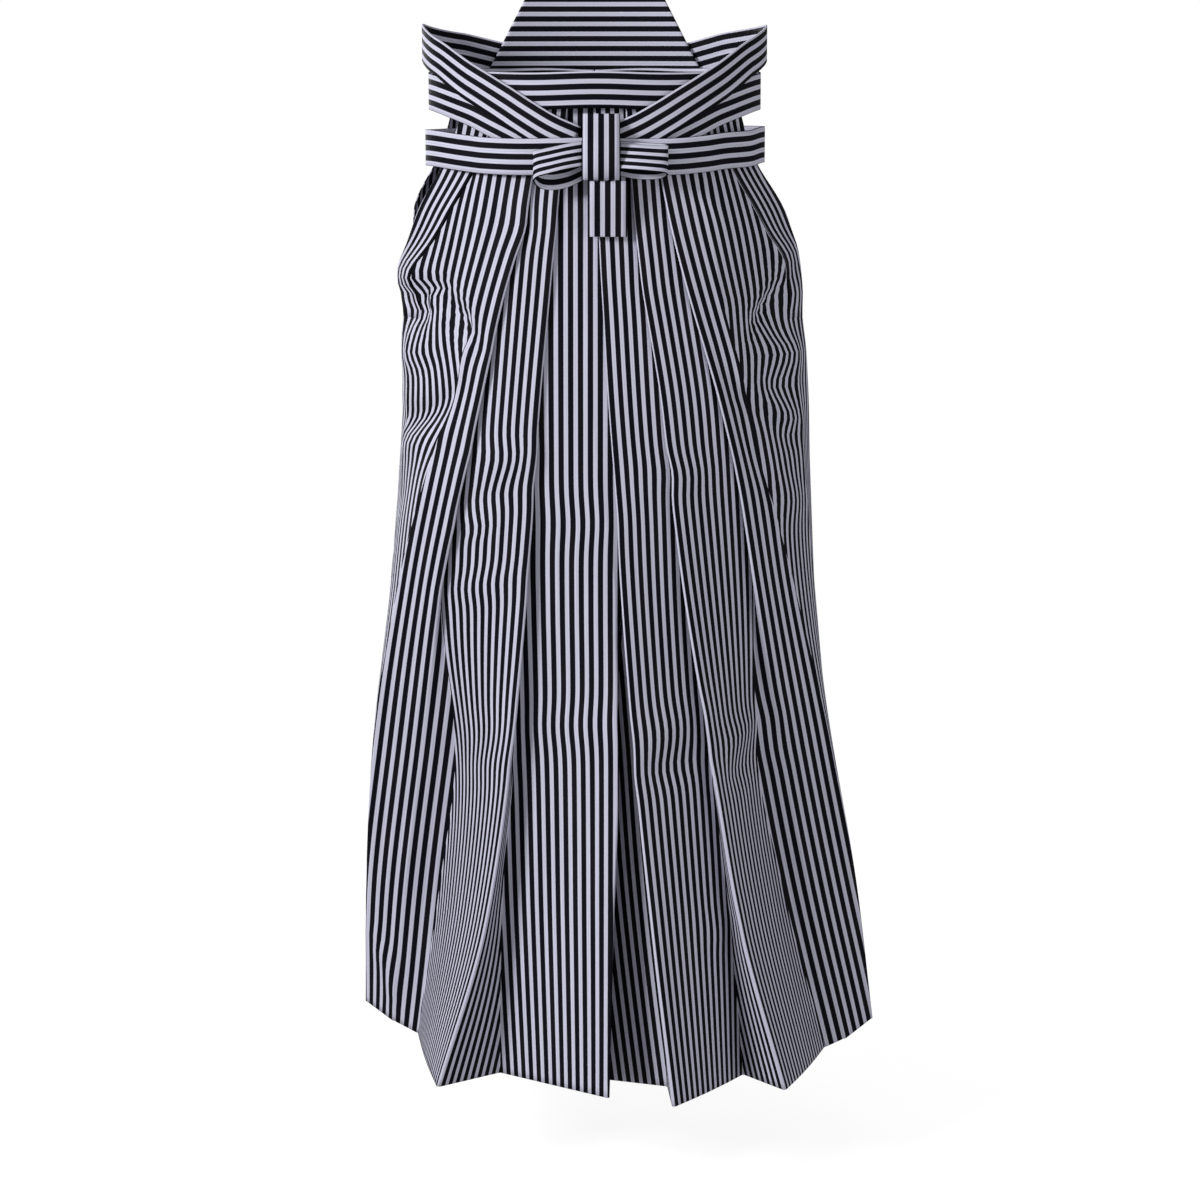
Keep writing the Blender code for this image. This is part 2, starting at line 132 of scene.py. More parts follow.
# %% The back, and its free edge beside the slit
BACK = {
    "seam": fold(PLAIN, (0, 0, 0, 0, 0, 0, 0, 14, 16, 20), 0, (132, 128, 102, 100, 104)),
    "inner_edge": fold(RIDGE, (12, 13, 13, 14, 14, 14, 14, 9, 11, 13), 0,
                       (132, 129, 136, 148, 165)),
    "pleat_inner": fold(INNER, (42, 46, 50, 56, 62, 66, 68, 74, 84, 96), 1.2,
                        (129, 126, 124, 128, 134)),
    "pleat": fold(RIDGE, (24, 26, 30, 34, 38, 42, 46, 52, 60, 72), 3.8,
                  (134, 134, 141, 158, 180), crown=3.0),
    "hip": fold(RIDGE, (88, 96, 112, 128, 132, 136, 142, 150, 162, 174), 0.0,
                (118, 114, 112, 120, 134), crown=5.0),
}
BACK_EDGE = {"out": (130.0, 146.0, 172.0), "behind": (48.0, 36.0, 12.0)}
print("folds:", len(FRONT_LEFT), len(FRONT_RIGHT), len(BACK))


# %% [markdown]
# ## From folds to rows of points
#
# The curve between two table values must not swing past them, or a pleat would
# cut through its neighbour. A cubic whose slopes are held back (a monotone
# cubic) does that. Blender's own curves would overshoot here.

# %% A curve that never overshoots its values
def curve(places, values, at):
    pairs = sorted(zip(places, values))
    spans = [b[0] - a[0] for a, b in zip(pairs, pairs[1:])]
    slopes = [(b[1] - a[1]) / span for a, b, span in zip(pairs, pairs[1:], spans)]
    tangents = [slopes[0]]
    for before, after in zip(slopes, slopes[1:]):
        same_way = before * after > 0
        tangents.append(2 * before * after / (before + after) if same_way else 0.0)
    tangents.append(slopes[-1])
    at = min(max(at, pairs[0][0]), pairs[-1][0])
    i = max(k for k in range(len(spans)) if k == 0 or at >= pairs[k][0])
    t = (at - pairs[i][0]) / spans[i]
    return ((1 + 2 * t) * (1 - t) ** 2 * pairs[i][1]
            + t * (1 - t) ** 2 * spans[i] * tangents[i]
            + t * t * (3 - 2 * t) * pairs[i + 1][1]
            + t * t * (t - 1) * spans[i] * tangents[i + 1])


# %% Where a fold is at a height
def figure_depth(x, level, face):
    across = abs(x - FIGURE["middle"][level]) / FIGURE["half_width"][level]
    return FIGURE[face][level] * max(0.0, 1 - across ** SQUARENESS) ** (1 / SQUARENESS)


def depths(row, side, face):
    upper = [figure_depth(side * row["out"][level], level, face) + row["off"]
             for level in range(UPPER)]
    return upper + list(row["depth"])


def apex(row, side, face, height):
    """Distance from the middle and depth; the back's side seam meets the front's."""
    if "partner" not in row:
        return (curve(LEVELS, row["out"], height),
                curve(LEVELS, depths(row, side, face), height))
    out, depth = apex(row["partner"], side, "front", max(height, SLIT_END))
    if height >= SLIT_END:
        edge_levels = LEVELS[:UPPER - 1]
        return (curve(edge_levels, BACK_EDGE["out"] + (out,), height),
                curve(edge_levels, BACK_EDGE["behind"] + (SEAM_GAP - depth,), height))
    out, depth = apex(row["partner"], side, "front", height)
    return out, SEAM_GAP - depth


# %% The bend of one fold
FOLD_RADIUS = 1.2
FOLD_SHARE = 0.4
OPEN_RADIUS = 7.0
FLATTEST_FOLD = math.radians(12)
BENDS = (-1.0, -0.5, 0.0, 0.5, 1.0)


def unit(x, y):
    length = math.hypot(x, y) or 1.0
    return x / length, y / length


def fold_points(before, at, after, kind):
    """Points round a fold: a tight bend when pressed, a soft one when open."""
    to_before = unit(before[0] - at[0], before[1] - at[1])
    to_after = unit(after[0] - at[0], after[1] - at[1])
    turn = (to_after[0] - to_before[0], to_after[1] - to_before[1])
    inward = unit(to_before[0] + to_after[0] + kind * turn[1],
                  to_before[1] + to_after[1] - kind * turn[0])
    cosine = to_before[0] * to_after[0] + to_before[1] * to_after[1]
    between = math.acos(max(-1.0, min(1.0, cosine)))
    half_turn = max(FLATTEST_FOLD, (math.pi - between) / 2)
    radius = FOLD_RADIUS + (OPEN_RADIUS - FOLD_RADIUS) * (between / math.pi) ** 2
    radius = min(radius, FOLD_SHARE * min(math.dist(before, at), math.dist(at, after)))
    across = (-kind * inward[1], kind * inward[0])
    points = []
    for bend in BENDS:
        back = radius * (1 - math.cos(bend * half_turn))
        aside = radius * math.sin(bend * half_turn)
        points.append((at[0] + back * inward[0] + aside * across[0],
                       at[1] + back * inward[1] + aside * across[1]))
    return points


# %% One level section of a wall
PANEL_POINTS = 9


def section(table, side, face, height):
    """Points (out, depth, lift, panel, edge): panel names the cloth that
    follows, and edge the fold whose very edge the point is."""
    names = list(table)
    apexes = [apex(table[name], side, face, height) for name in names]
    near_hem = max(0.0, (CROTCH - height) / (CROTCH - HEM)) ** 2
    points = []
    for i, name in enumerate(names):
        lift = table[name]["lift"] * near_hem
        if i == 0:
            points.append((*apexes[i], lift, name, name))
        elif i == len(names) - 1:
            out, depth = apexes[i]
            points.append((out, depth + SEAM_STUB, lift, names[i - 1], ""))
            points.append((out, depth, lift, name, name))
        else:
            bend = fold_points(apexes[i - 1], apexes[i], apexes[i + 1], table[name]["kind"])
            for place, (x, y) in zip(BENDS, bend):
                points.append((x, y, lift, names[i - 1] if place < 0 else name,
                               "" if place else name))
    return points


def filled_section(table, side, face, height):
    """The section with the points of each panel between its two folds."""
    marks = section(table, side, face, height)
    starts = {0} | {len(BENDS) * k for k in range(1, len(table) - 1)}
    points = []
    for i, here in enumerate(marks[:-1]):
        points.append(here)
        if i not in starts:
            continue
        there = marks[i + 1]
        along = unit(there[0] - here[0], there[1] - here[1])
        for step in range(1, PANEL_POINTS + 1):
            t = step / (PANEL_POINTS + 1)
            crown = table[here[3]]["crown"] * math.sin(math.pi * t)
            points.append((here[0] + t * (there[0] - here[0]) - crown * along[1],
                           here[1] + t * (there[1] - here[1]) + crown * along[0],
                           here[2] + t * (there[2] - here[2]), here[3], ""))
    points.append(marks[-1])
    return points


print("points across the left front:", len(filled_section(FRONT_LEFT, -1, "front", HEM)))

# %% [markdown]
# ## Where the stripes run
#
# The stripes are woven along the cloth. On each pleat they run with the
# pleat's own folded edge, so a stripe that starts at the edge stays there to
# the hem, and the others disappear under the next pleat one by one. The cloth
# beside the slit runs with the side seam instead, so the diagonal fold at the
# hip cuts across its stripes. A UV map holds this: U is the distance across the
# yarns from the panel's own edge, and V is the height. Both are in metres, so
# the pattern has its true size. An unwrap tool would lay the stripes by the
# shape of the faces, not by the yarns. A pleat that is turned a little away
# from the front shows its stripes closer.

# %% Each panel's own edge
STRAIGHT = ("inner_edge",)
PANEL_TURN = {"inner_edge": 0.965, "pleat_1": 0.88, "pleat_2": 1.02,
              "pleat_3": 0.88, "pleat_4": 0.87, "pleat_5": 0.95}
OWNERS_LEFT = {"seam": "inner_edge", "inner_edge": "inner_edge", "pleat_1_inner": "pleat_1",
               "pleat_1": "pleat_1", "pleat_2_inner": "pleat_2", "pleat_2": "pleat_2",
               "side_ridge": "pleat_2", "strip": "strip", "side": "strip"}
OWNERS_RIGHT = {"seam": "pleat_3", "pleat_3_inner": "pleat_3", "pleat_3": "pleat_3",
                "pleat_4_inner": "pleat_4", "pleat_4": "pleat_4", "pleat_5_inner": "pleat_5",
                "pleat_5": "pleat_5", "side_ridge": "pleat_5", "strip": "strip",
                "side": "strip"}
OWNERS_BACK = {"seam": "inner_edge", "inner_edge": "inner_edge", "pleat_inner": "pleat",
               "pleat": "pleat", "hip": "pleat", "side": "pleat"}


# %% Distances across the yarns
SIDE_PANELS = ("side_ridge", "strip")
SIDE_TILT = 0.09


def edge_places(points):
    """How far along the section every point is, and where each edge lies."""
    arcs = [0.0]
    for a, b in zip(points, points[1:]):
        arcs.append(arcs[-1] + math.hypot(b[0] - a[0], b[1] - a[1]))
    at = {point[4]: arc - (point[0] if point[4] in STRAIGHT else 0.0)
          for point, arc in zip(points, arcs) if point[4]}
    return arcs, at


def yarns_across(owners, points, height, at_slit_end):
    """U at the two ends of every stretch between neighbouring points. Below
    the slit, the side's stripes follow the side seam and meet the diagonal
    fold at an angle; above it, the slit's edge has its own."""
    arcs, at = edge_places(points)
    frames = {edge: (at[edge], PANEL_TURN.get(edge, 1.0), 0.0) for edge in at}
    has_slit = "strip" in at
    if has_slit:
        pleat = owners["side_ridge"]
        turn = PANEL_TURN[pleat]
        for edge in ("side", "strip"):
            frames[edge] = (at[edge], turn, (at_slit_end[edge] - at_slit_end[pleat]) / turn)
    drift = SIDE_TILT * (SLIT_END - height)
    across = []
    for i, point in enumerate(points[:-1]):
        follows_seam = has_slit and drift > 0 and point[3] in SIDE_PANELS
        origin, turn, start = frames["side" if follows_seam else owners[point[3]]]
        start += drift if follows_seam else 0.0
        across.append(((arcs[i] - origin) / turn + start, (arcs[i + 1] - origin) / turn + start))
    return across


# %% [markdown]
# ## Bending a grid into a sheet
#
# `bmesh.ops.create_grid` makes a flat grid with as many squares as we need.
# Each corner then moves to its place on the garment, and a Solidify modifier
# gives the sheet its thickness, evenly to both sides. That is how the cloth is
# really made: flat first, then folded.

# %% A sheet from rows of points
def bend_sheet(name, rows, across, down, thickness):
    """rows: points in mm, across: U at both ends of each stretch, down: V."""
    columns, lines = len(rows[0]) - 1, len(rows) - 1
    bm = bmesh.new()
    bmesh.ops.create_grid(bm, x_segments=columns, y_segments=lines, size=0.5)
    yarns = bm.loops.layers.uv.new("Yarns")
    place = {}
    for vertex in bm.verts:
        column = round((vertex.co.x + 0.5) * columns)
        line = round((vertex.co.y + 0.5) * lines)
        place[vertex] = (column, line)
        vertex.co = [c * MM for c in rows[line][column]]
    for face in bm.faces:
        first = min(place[v][0] for v in face.verts)
        for loop in face.loops:
            column, line = place[loop.vert]
            loop[yarns].uv = (across[line][first][column - first] * MM, down[line] * MM)
    mesh = bpy.data.meshes.new(name)
    bm.to_mesh(mesh)
    bm.free()
    mesh.shade_smooth()
    obj = bpy.data.objects.new(name, mesh)
    bpy.context.scene.collection.objects.link(obj)
    wall = obj.modifiers.new("Thickness", "SOLIDIFY")
    wall.thickness = thickness * MM
    wall.offset = 0.0
    wall.use_even_offset = True
    return obj


def steps(first, last, count):
    return [first + (last - first) * i / (count - 1) for i in range(count)]


# %% [markdown]
# ## Creases
#
# Pressed pleats are not the only relief: the cloth also sinks and swells where
# it is pulled. Each crease here is a line of points on the garment with a
# depth and a width, and the cloth near the line moves in or out, less towards
# the ends. A simulation would also make folds, but not these ones.

# %% A soft trough or ridge along a line
CREASES = []
CREASE_ENDS = (0.05, 0.95)
CREASE_TAPER = 0.6


def crease(height, drag, width, *points):
    """height: above the cloth, negative for a trough; drag: how far the cloth
    slides to the viewer's right along the line; all in millimetres."""
    CREASES.append((height, drag, width, np.array(points, dtype=float)))


def crease_relief(places):
    """How far each place moves outwards and to the right, from points in mm."""
    relief, slide = np.zeros(len(places)), np.zeros(len(places))
    for height, drag, width, line in CREASES:
        lengths = np.linalg.norm(np.diff(line, axis=0), axis=1)
        starts = np.concatenate([[0.0], np.cumsum(lengths)])
        nearest = np.full(len(places), np.inf)
        along = np.zeros(len(places))
        for a, b, start, length in zip(line, line[1:], starts, lengths):
            t = np.clip((places - a) @ (b - a) / length ** 2, 0.0, 1.0)
            gap = np.linalg.norm(places - (a + t[:, None] * (b - a)), axis=1)
            closer = gap < nearest
            nearest[closer] = gap[closer]
            along[closer] = (start + t * length)[closer] / starts[-1]
        taper = np.sin(np.pi * np.clip(along, *CREASE_ENDS)) ** CREASE_TAPER
        strength = taper * np.exp(-(nearest / width) ** 2)
        relief += height * strength
        slide += drag * strength
    return relief, slide


# %% Apply the creases to rows of points
OUTWARD = (0.75, 1.0, 0.0)


def creased(rows):
    """Moves the points straight away from the garment's upright middle, and
    slides them along the cloth."""
    places = np.array(rows, dtype=float).reshape(-1, 3)
    outward = places * OUTWARD
    outward /= np.linalg.norm(outward, axis=1)[:, None]
    sideways = np.stack([-outward[:, 1], outward[:, 0], outward[:, 2]], axis=1)
    relief, slide = crease_relief(places)
    places += outward * relief[:, None] + sideways * slide[:, None]
    return places.reshape(len(rows), -1, 3).tolist()


# %% The creases of the left hip, where the slit gapes and the cloth is pushed in
crease(5, 0, 16, (-184, -20, -112), (-168, -52, -108), (-148, -78, -104))
crease(-7, 3, 6, (-184, -20, -133), (-168, -60, -128), (-150, -80, -122), (-140, -89, -124))
crease(-11, 10, 17, (-186, -22, -148), (-172, -54, -146), (-156, -76, -142))
crease(-7, 3, 12, (-146, -88, -124), (-134, -98, -138), (-122, -107, -154), (-108, -118, -174))
crease(4, -3, 12, (-182, -38, -190), (-165, -64, -186), (-146, -84, -180))
crease(3, 5, 14, (-182, -38, -226), (-160, -76, -222), (-132, -104, -206))
crease(-7, -4, 12, (-180, -40, -253), (-162, -74, -246), (-144, -96, -233), (-124, -112, -214))
crease(4, -4, 16, (-180, -40, -272), (-160, -78, -266), (-142, -100, -254))
crease(-3, -3, 16, (-186, -20, -330), (-166, -66, -318), (-150, -88, -300))

# %% The creases of the right hip: a pinch under the slit, with folds that spread
crease(4, 0, 14, (186, -30, -96), (172, -62, -92), (158, -78, -84))
crease(-7, -3, 12, (183, -50, -118), (171, -71, -137), (158, -88, -152), (150, -95, -168))
crease(-7, -8, 24, (192, -30, -150), (176, -66, -152), (156, -86, -150))
crease(4, 4, 12, (190, -40, -186), (172, -72, -184), (150, -94, -180))
crease(-4, -3, 12, (188, -44, -214), (172, -78, -214), (154, -98, -210))
crease(-8, 4, 11, (112, -127, -186), (130, -119, -213), (151, -106, -236), (166, -90, -247),
       (184, -66, -259))
crease(5, 6, 13, (186, -50, -250), (168, -82, -244), (150, -100, -232))
crease(-4, 5, 9, (188, -56, -270), (172, -82, -264), (156, -98, -252))
crease(-4, 0, 10, (131, -119, -226), (143, -114, -256), (155, -107, -290), (168, -95, -329))
crease(3, 3, 20, (190, -40, -330), (176, -76, -320), (162, -94, -306))

# %% The kinks that run over the pleats at the front
crease(2, 5, 15, (-112, -122, -270), (-92, -131, -276), (-64, -138, -270))
crease(-2, -4, 12, (-124, -116, -322), (-100, -130, -312), (-66, -140, -302))
crease(1, 4, 9, (-128, -112, -348), (-118, -121, -344), (-100, -128, -338))
crease(2, -2, 14, (-136, -100, -405), (-110, -118, -398), (-72, -138, -384))
crease(2, 3, 18, (-146, -70, -545), (-118, -95, -540), (-82, -140, -524))
crease(-2, -3, 16, (-140, -80, -580), (-112, -105, -572), (-76, -145, -560))
crease(1, -2, 20, (-62, -132, -530), (-20, -146, -524), (20, -158, -516))
crease(1, 2, 22, (-60, -140, -330), (-20, -142, -336), (20, -146, -330))
crease(2, 2, 18, (40, -176, -530), (65, -165, -524), (102, -154, -512))
crease(-2, -3, 15, (44, -180, -566), (72, -168, -560), (112, -150, -552))
crease(2, 3, 15, (112, -142, -545), (135, -116, -539), (168, -77, -530))
crease(-2, -2, 14, (116, -140, -580), (140, -112, -574), (176, -76, -566))
crease(2, 3, 16, (50, -150, -280), (80, -146, -290), (110, -134, -286))
crease(2, -2, 20, (20, -152, -110), (50, -150, -120), (90, -136, -118))
crease(1, 3, 16, (-90, -118, -60), (-70, -128, -66), (-48, -134, -64))
crease(2, -3, 9, (94, -114, -26), (107, -110, -38), (120, -104, -58))
crease(3, 3, 12, (-214, 2, -770), (-206, -4, -800), (-199, -2, -838))
crease(3, 0, 14, (98, -168, -700), (115, -160, -720), (134, -150, -700))
print("creases so far:", len(CREASES))


# %% The creases of the back, which hangs freer and is pulled up by the board
HIP_FALL = 0.7


def on_back(out, height):
    """Depth of the back over a place, from its three open folds; beyond the
    last of them it falls away towards the side."""
    marks = [apex(BACK[name], 1, "back", height) for name in ("inner_edge", "pleat", "hip")]
    outs, depth = zip(*marks)
    return float(np.interp(abs(out), outs, depth)) - max(0.0, abs(out) - outs[-1]) * HIP_FALL


def back_crease(height, drag, width, *places):
    crease(height, drag, width, *[(x, on_back(x, z), z) for x, z in places])


back_crease(-6, 3, 9, (-158, -128), (-132, -150), (-104, -182), (-70, -204))
back_crease(4, 0, 13, (-150, -176), (-118, -206), (-84, -222))
back_crease(-5, -3, 10, (-152, -236), (-120, -262), (-88, -270))
back_crease(3, 2, 14, (-96, 20), (-90, -40), (-72, -104))
back_crease(-7, -3, 8, (164, -120), (138, -140), (112, -164), (88, -196))
back_crease(4, 2, 14, (160, -170), (126, -188), (92, -214))
back_crease(-4, 3, 11, (158, -250), (122, -240), (92, -222))
back_crease(3, -2, 13, (92, 10), (84, -50), (62, -96))
back_crease(3, 3, 18, (-140, -340), (-100, -352), (-52, -336))
back_crease(-3, -3, 15, (-146, -560), (-100, -548), (-40, -566))
back_crease(3, 2, 20, (-150, -736), (-96, -724), (-36, -740))
back_crease(2, -3, 17, (40, -380), (96, -396), (150, -378))
back_crease(-3, 3, 16, (44, -600), (104, -584), (156, -604))
back_crease(3, 2, 18, (50, -716), (106, -730), (164, -712))
print("creases:", len(CREASES))

# %% [markdown]
# ## The legs
#
# The fronts and backs are sewn together down the sides below the slits. The
# gussets join front to back between the legs, so each leg is a wide tube. It
# could be modelled as one tube, but a sheet for each cut piece keeps the seams
# where they are and lets the stripes of each piece run their own way.

# %% The walls of both legs
WALL_ROWS = 121
HEIGHTS = steps(PANEL_TOP, HEM, WALL_ROWS)


def parted(table):
    """The same folds, with the middle seam moved out by half of the gap."""
    seam = table["seam"]
    return dict(table, seam=dict(seam, out=tuple(o + SEAM_GAP / 2 for o in seam["out"])))


def back_table(front, wider):
    """The folds of one back; its side edge follows that of the front."""
    table = {name: dict(row) for name, row in parted(BACK).items()}
    table["hip"]["out"] = tuple(o * wider for o in BACK["hip"]["out"])
    table["side"] = dict(front["side"], partner=front["side"])
    return table


def wall(name, table, owners, side, face):
    forward = -1 if face == "front" else 1
    at_slit_end = edge_places(filled_section(table, side, face, SLIT_END))[1]
    rows, across = [], []
    for height in HEIGHTS:
        points = filled_section(table, side, face, height)
        rows.append([(side * out, forward * depth, height + lift)
                     for out, depth, lift, *_ in points])
        across.append(yarns_across(owners, points, height, at_slit_end))
    return bend_sheet(name, creased(rows), across, HEIGHTS, CLOTH)


SIDES = {"left": (-1, parted(FRONT_LEFT), OWNERS_LEFT, 1.0),
         "right": (1, parted(FRONT_RIGHT), OWNERS_RIGHT, 1.06)}
cloth = {}
for word, (side, front, owners, wider) in SIDES.items():
    back = back_table(front, wider)
    cloth[f"front_{word}"] = wall(f"pleated_front_{word}", front, owners, side, "front")
    cloth[f"back_{word}"] = wall(f"pleated_back_{word}", back, OWNERS_BACK, side, "back")

# %% The gussets between the legs
GUSSET_OFF = CLOTH / 2 + SEAM_GAP / 2
GUSSET_SPREAD = 5.0
GUSSET_COLUMNS = 25


def gusset(name, front, back, side):
    """A wall from the front's middle edge to the back's, bulging a little."""
    rows, across = [], []
    lower = [h for h in HEIGHTS if h <= CROTCH]
    for height in lower:
        front_out = curve(LEVELS, front["seam"]["out"], height) + GUSSET_OFF
        back_out = curve(LEVELS, back["seam"]["out"], height) + GUSSET_OFF
        front_y = -curve(LEVELS, depths(front["seam"], side, "front"), height) + CLOTH
        back_y = curve(LEVELS, depths(back["seam"], side, "back"), height) - CLOTH
        apart = GUSSET_SPREAD * (CROTCH - height) / (CROTCH - HEM)
        row = []
        for t in steps(0.0, 1.0, GUSSET_COLUMNS):
            out = front_out + t * (back_out - front_out) + apart * math.sin(math.pi * t)
            row.append((side * out, front_y + t * (back_y - front_y), height))
        rows.append(row)
        across.append([(a[1], b[1]) for a, b in zip(row, row[1:])])
    return bend_sheet(name, rows, across, lower, CLOTH)


for word, (side, front, _, wider) in SIDES.items():
    back = back_table(front, wider)
    cloth[f"gusset_{word}"] = gusset(f"leg_gusset_{word}", front, back, side)

# %% The doubled edges beside the slits
STRIP_OFF = 1.7
STRIP_BELOW_SLIT = 20.0
STRIP_SEWN_DOWN = 1.5
STRIP_FIRST_POINT = 2


def slit_edge(name, table, owners, side):
    """The edge is turned back on itself: the front's own points, moved out.
    Its lower end is sewn down flat, so it comes closer to the front there."""
    at_slit_end = edge_places(filled_section(table, side, "front", SLIT_END))[1]
    rows, across = [], []
    lowest = SLIT_END - STRIP_BELOW_SLIT
    upper = [h for h in HEIGHTS if h > lowest]
    for height in upper:
        off = STRIP_OFF - STRIP_SEWN_DOWN * max(0.0, 1 - (height - lowest) / STRIP_BELOW_SLIT)
        points = filled_section(table, side, "front", height)
        first = next(i for i, p in enumerate(points) if p[3] == "strip") + STRIP_FIRST_POINT
        edge = points[first:]
        row = []
        for i, point in enumerate(edge):
            before, after = edge[max(i - 1, 0)], edge[min(i + 1, len(edge) - 1)]
            along = unit(after[0] - before[0], after[1] - before[1])
            row.append((side * (point[0] - off * along[1]),
                        -(point[1] + off * along[0]), height + point[2]))
        rows.append(row)
        across.append(yarns_across(owners, points, height, at_slit_end)[first:])
    return bend_sheet(name, creased(rows), across, upper, CLOTH)


for word, (side, front, owners, _) in SIDES.items():
    cloth[f"side_strip_{word}"] = slit_edge(f"slit_edge_{word}", front, owners, side)
print("leg pieces:", ", ".join(cloth))

# %% [markdown]
# ## The ties
#
# A tie is a long strip of the same cloth folded double, with the stripes along
# it. It is flat, so three numbers along the way are enough: the angle round
# the waist, the height, and how far it stands off what is under it. A strip
# bent along a Blender curve would twist with the curve. Here each cross-section
# stays square to the waist, as a tie does that is pulled flat.

# %% The waist that the ties go round
TIE_WIDTH = 33.0
TIE_STEP = 2.2
TIE_CLOTH = 1.6
TIE_HALF_WIDTH = 156.5
TIE_FRONT = 129.0
TIE_BACK = 108.0
TIE_ACROSS = 9
TIE_RIPPLE = 0.2
TIE_RIPPLE_UP = 0.6
TIE_WAVES = 7.0


def on_waist(angle, off):
    s, c = math.sin(math.radians(angle)), math.cos(math.radians(angle))
    depth = TIE_FRONT if c > 0 else TIE_BACK
    size = (abs(s) / TIE_HALF_WIDTH) ** SQUARENESS + (abs(c) / depth) ** SQUARENESS
    reach = size ** (-1 / SQUARENESS) + off
    return reach * s, -reach * c


# %% A tie along its route
def tie(name, route, count, shift=0.0):
    """shift: how far the stripes lie above the middle of the tie. The tie
    ripples a little, as cloth does that is pulled tight by hand."""
    angles, heights, offs = zip(*route)
    middle = []
    for angle in steps(angles[0], angles[-1], count):
        wave = math.sin(math.radians(angle) * TIE_WAVES + route[0][1])
        x, y = on_waist(angle, curve(angles, offs, angle) + TIE_RIPPLE * wave)
        middle.append((x, y, curve(angles, heights, angle) + TIE_RIPPLE_UP * wave))
    reaches = steps(0.5, -0.5, TIE_ACROSS)
    rows = [[] for _ in reaches]
    run_length, along_tie = 0.0, []
    for i, (x, y, z) in enumerate(middle):
        a, b = middle[max(i - 1, 0)], middle[min(i + 1, count - 1)]
        level = math.hypot(b[0] - a[0], b[1] - a[1])
        length = math.hypot(level, b[2] - a[2])
        rise, run = (b[2] - a[2]) / length, level / length
        run_length += math.dist(middle[i], middle[i - 1]) if i else 0.0
        along_tie.append(run_length)
        for row, reach in zip(rows, reaches):
            w = reach * TIE_WIDTH
            row.append((x - w * rise * (b[0] - a[0]) / level,
                        y - w * rise * (b[1] - a[1]) / level, z + w * run))
    turned = [[row[i] for row in rows] for i in range(count)]
    across = [[(a * TIE_WIDTH - shift, b * TIE_WIDTH - shift)
               for a, b in zip(reaches, reaches[1:])]] * count
    return bend_sheet(name, turned, across, along_tie, TIE_CLOTH)


# %% The routes: angle from the middle of the front, height, distance off the waist
INSIDE = -18.0
FRONT_BAND = ((-179.6, 58, INSIDE), (-104, 58, INSIDE), (-70, 58, 0), (0, 59, 0),
              (70, 58, 0), (104, 58, INSIDE), (179.6, 58, INSIDE))
SECOND_ROUND = ((172, 58, INSIDE + TIE_STEP), (104, 60, INSIDE + TIE_STEP),
                (72, 56, TIE_STEP), (50, 44, TIE_STEP), (38, 32, 2.4),
                (30, 23, 2.4), (20, 11, 1.8), (8, 2, 1.6))
BELT = ((-179.6, 2, INSIDE), (-104, 3, INSIDE), (-72, 5, 6.0), (-50, 1, 3.8),
        (-42, 0, 4.6), (-30, 0, 6.8), (0, 0, 6.8), (30, 0, 6.8), (42, 1, 4.6),
        (50, 3, 4.4), (62, 5, 7.0), (72, 8, 7.0), (104, 5, INSIDE), (179.6, 2, INSIDE))
BACK_TIE = ((140, 81, -1.2), (134, 84, 0.0), (128, 88, 2.2), (120, 93, 4.2),
            (90, 101, 4.4), (65, 88, 4.4), (48, 66, 4.4), (35, 47, 4.6), (28, 36, 4.6),
            (18, 22, 4.2), (8, 12, 3.8))


def mirrored(route):
    return tuple((-angle, height, off) for angle, height, off in route)


# %% The front band and the five ties
ROUND_COUNT = 181
HALF_COUNT = 91
BAND_SHIFT = 3.0
cloth["front_band"] = tie("waist_band", FRONT_BAND, ROUND_COUNT, BAND_SHIFT)
cloth["front_tie_belt"] = tie("belt_round", BELT, ROUND_COUNT)
cloth["front_tie_left"] = tie("second_round_left", mirrored(SECOND_ROUND), HALF_COUNT)
cloth["front_tie_right"] = tie("second_round_right", SECOND_ROUND, HALF_COUNT)
cloth["back_tie_left"] = tie("board_tie_left", mirrored(BACK_TIE), HALF_COUNT, BAND_SHIFT)
cloth["back_tie_right"] = tie("board_tie_right", BACK_TIE, HALF_COUNT, BAND_SHIFT)

# %% [markdown]
# ## The bow
#
# The bow is a flat one: a loop to each side, a short wrap over the middle and
# one end hanging below. Each is the same tie, led along a path of points. A
# real knot is one long strip, but most of it is hidden, so four short stretches
# show the same. The lower edges of the loops lean out, which shows the dark
# inside of the left one.

# %% A smooth way through a few points
def smooth_path(points, between):
    """A Catmull-Rom curve, which passes through every point it is given."""
    path = []
    last = len(points) - 1
    for i in range(last):
        p0, p1 = points[max(i - 1, 0)], points[i]
        p2, p3 = points[i + 1], points[min(i + 2, last)]
        for step in range(between):
            t = step / between
            path.append(tuple(
                0.5 * (2 * b + (c - a) * t + (2 * a - 5 * b + 4 * c - d) * t * t
                       + (3 * b - a - 3 * c + d) * t ** 3)
                for a, b, c, d in zip(p0, p1, p2, p3)))
    path.append(points[-1])
    return path


